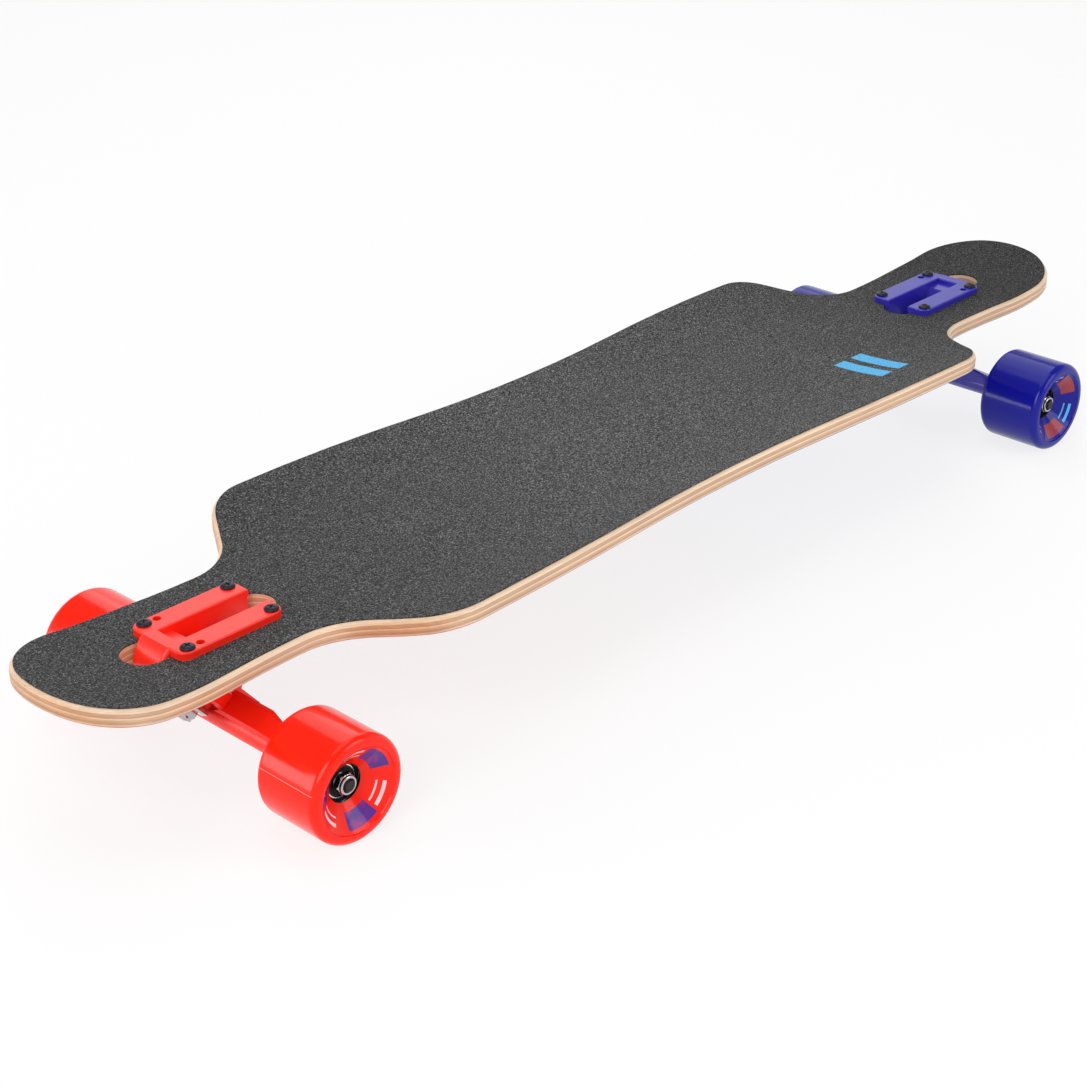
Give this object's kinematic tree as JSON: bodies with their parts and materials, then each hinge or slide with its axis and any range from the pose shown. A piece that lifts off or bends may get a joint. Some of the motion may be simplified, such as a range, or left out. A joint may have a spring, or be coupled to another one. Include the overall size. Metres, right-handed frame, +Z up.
{
  "type": "longboard skateboard",
  "caption": "Drop-through longboard with a pressed maple deck, cutaway wheel wells, grip tape, reverse-kingpin trucks that steer and wide urethane wheels that roll.",
  "frame": {"origin": "on the ground below the middle of the deck", "axes": "+X forward to the blue truck, +Y left, +Z up; the wheels stand on Z = 0"},
  "size_m": [0.992, 0.2624, 0.1082],
  "materials": {
    "maple": "clear satin lacquer over light and dark plies",
    "grip": "coarse dark grit",
    "blue_paint": "satin ultramarine powder coat",
    "red_paint": "satin scarlet powder coat",
    "blue_urethane": "glossy cast urethane",
    "red_urethane": "glossy cast urethane",
    "blue_bushing": "soft urethane",
    "red_bushing": "soft urethane",
    "steel": "ground steel",
    "chrome": "bright plating",
    "black_steel": "black oxide",
    "black_nylon": "moulded nylon",
    "black_shield": "pressed dark shield"
  },
  "bodies": {
    "deck": {"deck": "maple", "grip_tape": "grip", "front_baseplate": "blue_paint", "front_kingpin": "steel", "front_kingpin_nut": "chrome", "front_roadside_washer": "chrome", "front_boardside_washer": "chrome", "front_roadside_bushing": "blue_bushing", "front_boardside_bushing": "blue_bushing", "front_pivot_cup": "black_nylon", "front_mounting_bolts": "black_steel", "front_mounting_nuts": "black_steel", "rear_baseplate": "red_paint", "rear_kingpin": "steel", "rear_kingpin_nut": "chrome", "rear_roadside_washer": "chrome", "rear_boardside_washer": "chrome", "rear_roadside_bushing": "red_bushing", "rear_boardside_bushing": "red_bushing", "rear_pivot_cup": "black_nylon", "rear_mounting_bolts": "black_steel", "rear_mounting_nuts": "black_steel"},
    "front_truck": {"front_hanger": "blue_paint", "front_axle": "steel", "front_axle_nuts": "chrome", "front_speed_rings": "chrome", "front_bearing_spacers": "steel", "front_bearing_inner_rings": "steel"},
    "rear_truck": {"rear_hanger": "red_paint", "rear_axle": "steel", "rear_axle_nuts": "chrome", "rear_speed_rings": "chrome", "rear_bearing_spacers": "steel", "rear_bearing_inner_rings": "steel"},
    "front_left_wheel": {"front_left_wheel": "blue_urethane", "front_left_bearing_outer_rings": "steel", "front_left_bearing_shields": "black_shield"},
    "front_right_wheel": {"front_right_wheel": "blue_urethane", "front_right_bearing_outer_rings": "steel", "front_right_bearing_shields": "black_shield"},
    "rear_left_wheel": {"rear_left_wheel": "red_urethane", "rear_left_bearing_outer_rings": "steel", "rear_left_bearing_shields": "black_shield"},
    "rear_right_wheel": {"rear_right_wheel": "red_urethane", "rear_right_bearing_outer_rings": "steel", "rear_right_bearing_shields": "black_shield"}
  },
  "joints": [
    {"name": "front_steer", "type": "hinge", "parent": "deck", "child": "front_truck", "pos_m": [0.37715, 0, 0.05801], "axis": [0.6428, 0, 0.766], "range_deg": [-15, 15], "stiffness_Nm_per_rad": 50, "deforming": ["front_roadside_bushing", "front_boardside_bushing"]},
    {"name": "rear_steer", "type": "hinge", "parent": "deck", "child": "rear_truck", "pos_m": [-0.37715, 0, 0.05801], "axis": [-0.6428, 0, 0.766], "range_deg": [-15, 15], "stiffness_Nm_per_rad": 50, "deforming": ["rear_roadside_bushing", "rear_boardside_bushing"]},
    {"name": "front_left_spin", "type": "hinge", "parent": "front_truck", "child": "front_left_wheel", "pos_m": [0.3705, 0.1052, 0.035], "axis": [0, 1, 0], "continuous": true},
    {"name": "front_right_spin", "type": "hinge", "parent": "front_truck", "child": "front_right_wheel", "pos_m": [0.3705, -0.1052, 0.035], "axis": [0, 1, 0], "continuous": true},
    {"name": "rear_left_spin", "type": "hinge", "parent": "rear_truck", "child": "rear_left_wheel", "pos_m": [-0.3705, 0.1052, 0.035], "axis": [0, 1, 0], "continuous": true},
    {"name": "rear_right_spin", "type": "hinge", "parent": "rear_truck", "child": "rear_right_wheel", "pos_m": [-0.3705, -0.1052, 0.035], "axis": [0, 1, 0], "continuous": true}
  ]
}
